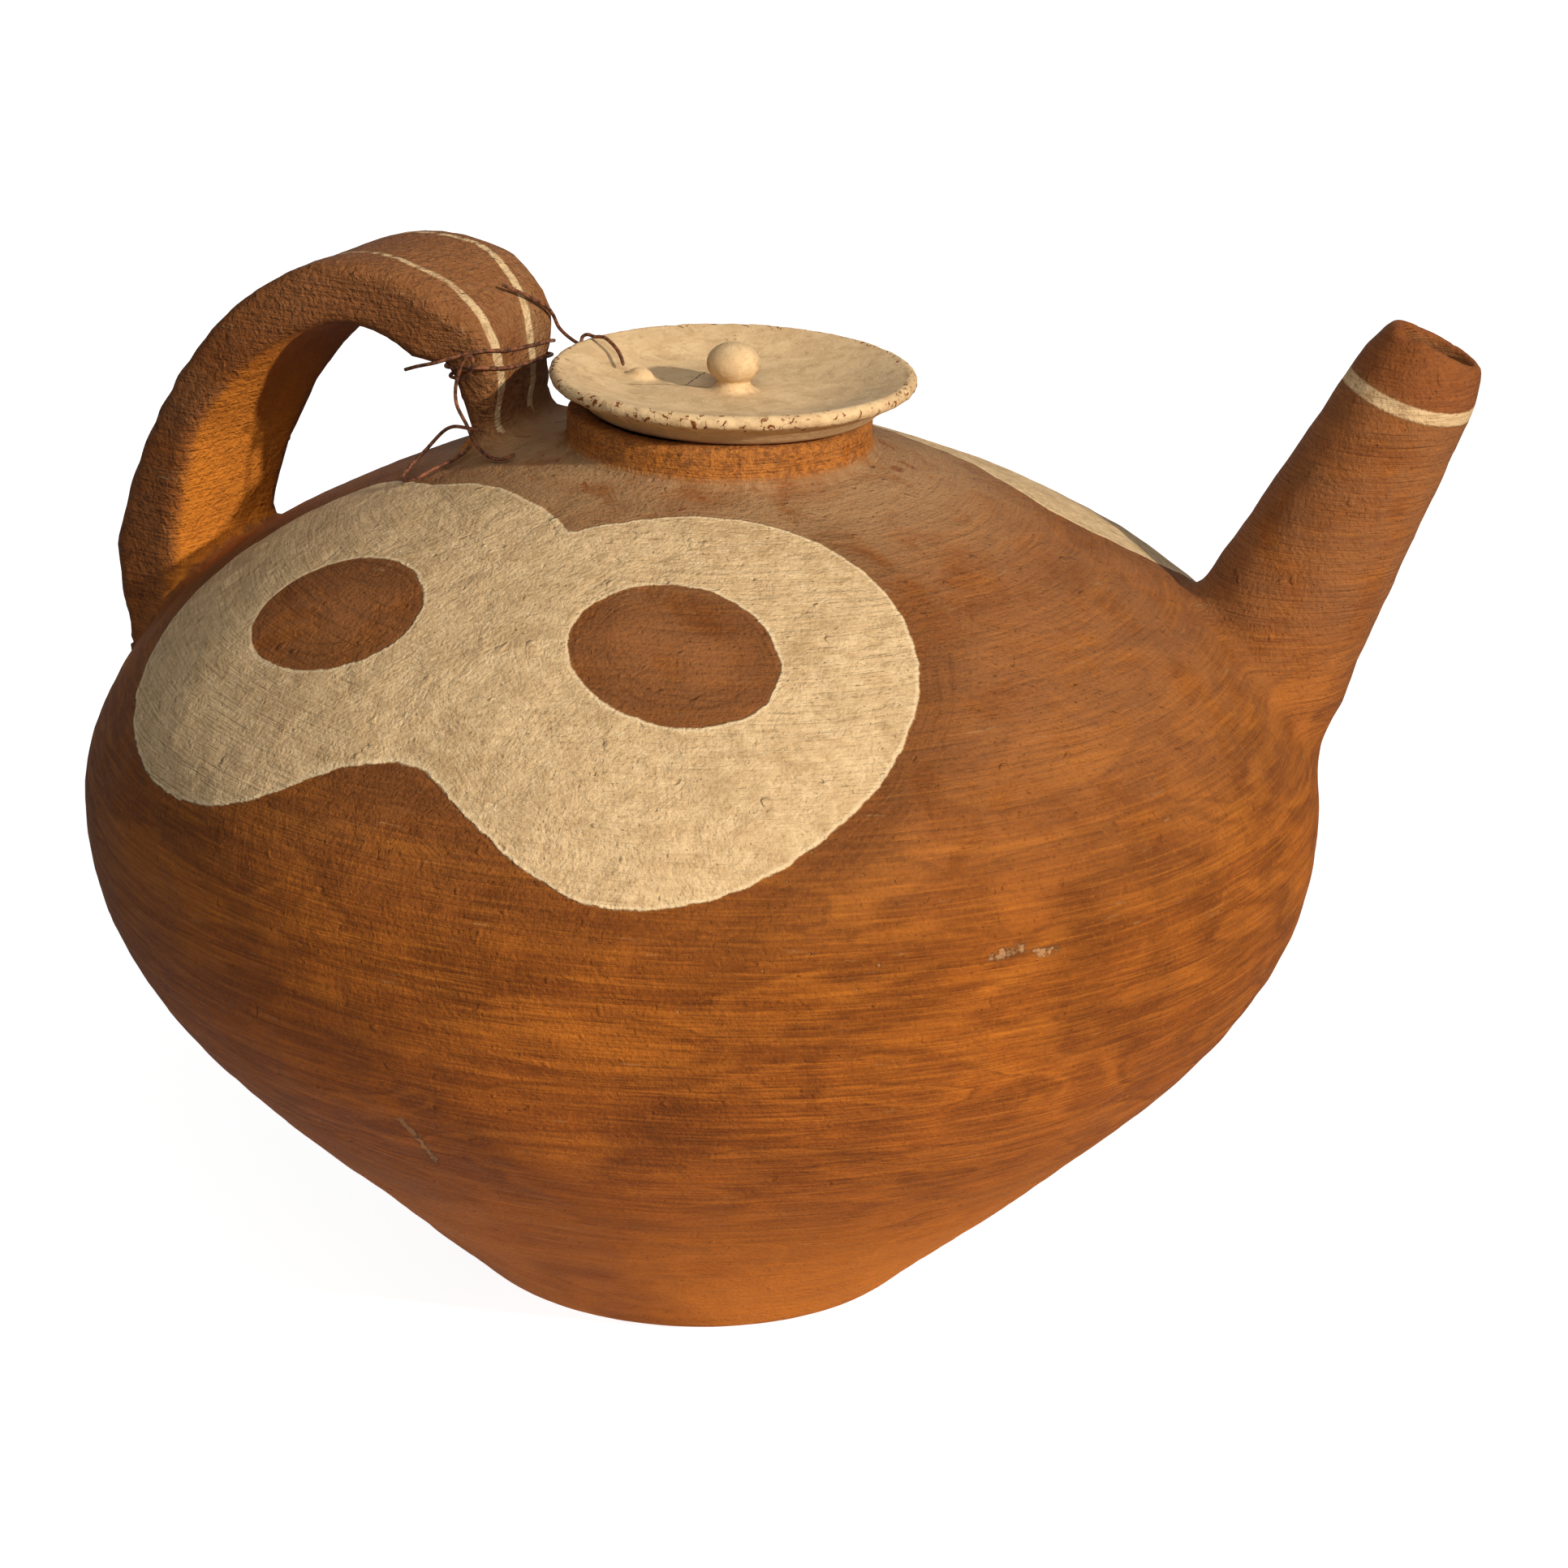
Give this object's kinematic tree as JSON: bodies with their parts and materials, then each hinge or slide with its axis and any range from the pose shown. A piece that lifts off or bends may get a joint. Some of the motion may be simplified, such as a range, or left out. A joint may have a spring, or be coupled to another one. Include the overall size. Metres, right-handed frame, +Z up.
{
  "type": "earthenware pot",
  "caption": "Squat earthenware pot with a small flat foot, low collar, straight tapered spout, strap handle over the shoulder and a loose saucer lid tied on with wire.",
  "frame": {"origin": "centre of the flat underside that the pot stands on", "axes": "+Z up, +X towards the spout; the handle stands on the shoulder at 158 degrees round from +X"},
  "size_m": [0.4435, 0.4, 0.3298],
  "materials": {
    "brown_earthenware": "matte brushed brown slip",
    "cream_slip": "matte cream slip",
    "rusty_wire": "rusted annealed wire"
  },
  "bodies": {
    "root": {"pot": "brown_earthenware", "lid": "cream_slip", "handle_wire": "rusty_wire", "shoulder_wire": "rusty_wire", "lid_wire": "rusty_wire"}
  },
  "joints": []
}
